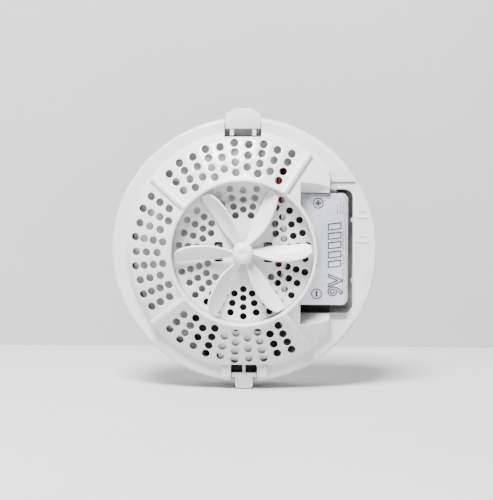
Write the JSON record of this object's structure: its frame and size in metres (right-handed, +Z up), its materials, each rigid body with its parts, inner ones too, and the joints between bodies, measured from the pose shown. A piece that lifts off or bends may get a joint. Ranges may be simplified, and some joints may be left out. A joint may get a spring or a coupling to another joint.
{
  "type": "smoke detector",
  "caption": "Round wall-mounted smoke detector: perforated domed cover, recessed sampling fan, open battery bay at one side, edge latches and a twist-on wall bracket.",
  "frame": {"origin": "centre of the wall bracket's screw pattern, on the wall plane", "axes": "+Y into the wall, so the front looks along -Y; +Z up; +X to the right as seen from the front"},
  "size_m": [0.1106, 0.04, 0.1174],
  "materials": {
    "white_plastic": "fine satin moulded ABS",
    "inner_plastic": "matt moulded ABS",
    "fan_plastic": "satin moulded plastic",
    "black_plastic": "matt black moulding",
    "grey_plastic": "matt grey moulding",
    "felt": "black felt",
    "foam": "black open-cell foam",
    "battery_steel": "satin plated steel",
    "battery_film": "printed metallic film",
    "nickel": "bright nickel plate",
    "steel": "satin zinc plate",
    "brass": "dull brass",
    "ferrite": "sintered ferrite",
    "screen_wire": "fine woven wire",
    "board": "green solder mask",
    "chip_epoxy": "moulded epoxy",
    "capacitor_film": "shrink film",
    "resistor_coat": "lacquer with colour bands",
    "lens_blue": "tinted epoxy",
    "lens_dark": "dark epoxy",
    "lens_red": "red epoxy",
    "clear_plastic": "clear acrylic",
    "red_insulation": "PVC insulation",
    "black_insulation": "PVC insulation"
  },
  "bodies": {
    "mounting_plate": {"mounting_plate": "white_plastic"},
    "head": {"rear_shell": "white_plastic", "front_cover": "white_plastic", "fan_grille": "white_plastic", "motor_can": "steel", "motor_bush": "brass", "motor_end_cap": "black_plastic", "motor_magnet_1": "ferrite", "motor_magnet_2": "ferrite", "motor_cradle": "grey_plastic", "battery_bay": "white_plastic", "battery_foam": "foam", "bay_partition": "white_plastic", "duct_liner": "felt", "contact_block": "black_plastic", "contact_positive": "nickel", "contact_negative": "nickel", "circuit_board": "board", "air_baffle": "inner_plastic", "baffle_screws": "steel", "chamber_base": "black_plastic", "chamber_cover": "black_plastic", "insect_screen": "screen_wire", "ir_emitter": "lens_blue", "photodiode": "lens_dark", "sounder_housing": "inner_plastic", "sounder_seat": "black_plastic", "sounder_disc": "brass", "capacitor_large": "capacitor_film", "capacitor_small": "capacitor_film", "controller_chip": "chip_epoxy", "resistor_1": "resistor_coat", "resistor_2": "resistor_coat", "resistor_3": "resistor_coat", "resistor_4": "resistor_coat", "latch_housing": "white_plastic", "test_switch": "black_plastic", "light_pipe": "clear_plastic", "status_led": "lens_red", "red_wire": "red_insulation", "black_wire": "black_insulation", "motor_lead_1": "steel", "motor_lead_2": "steel"},
    "impeller": {"impeller": "fan_plastic", "motor_shaft": "steel", "motor_armature": "steel"},
    "battery": {"battery_can": "battery_steel", "battery_label": "battery_film", "battery_positive": "nickel", "battery_negative": "nickel"},
    "top_latch": {"top_latch": "white_plastic"},
    "bottom_latch": {"bottom_latch": "white_plastic"},
    "test_button": {"test_button": "white_plastic"}
  },
  "joints": [
    {"name": "head_twist", "type": "hinge", "parent": "mounting_plate", "child": "head", "pos_m": [0, 0, 0], "axis": [0, -1, 0], "range_deg": [0, 15]},
    {"name": "impeller_spin", "type": "hinge", "parent": "head", "child": "impeller", "pos_m": [0, 0, 0], "axis": [0, -1, 0], "continuous": true},
    {"name": "top_latch_flex", "type": "hinge", "parent": "head", "child": "top_latch", "pos_m": [0, -0.0243, 0.0481], "axis": [1, 0, 0], "range_deg": [-6, 0], "stiffness_Nm_per_rad": 0.3},
    {"name": "bottom_latch_flex", "type": "hinge", "parent": "head", "child": "bottom_latch", "pos_m": [0, -0.0243, -0.048], "axis": [1, 0, 0], "range_deg": [0, 6], "stiffness_Nm_per_rad": 0.3},
    {"name": "battery_tilt", "type": "hinge", "parent": "head", "child": "battery", "pos_m": [0.0312, -0.02875, 0], "axis": [0, 0, -1], "range_deg": [0, 5]},
    {"name": "test_button_press", "type": "slide", "parent": "head", "child": "test_button", "axis": [0.9711, 0, 0.2385], "range_m": [0, 0.001], "stiffness_N_per_m": 800, "springref_m": -0.0005}
  ]
}
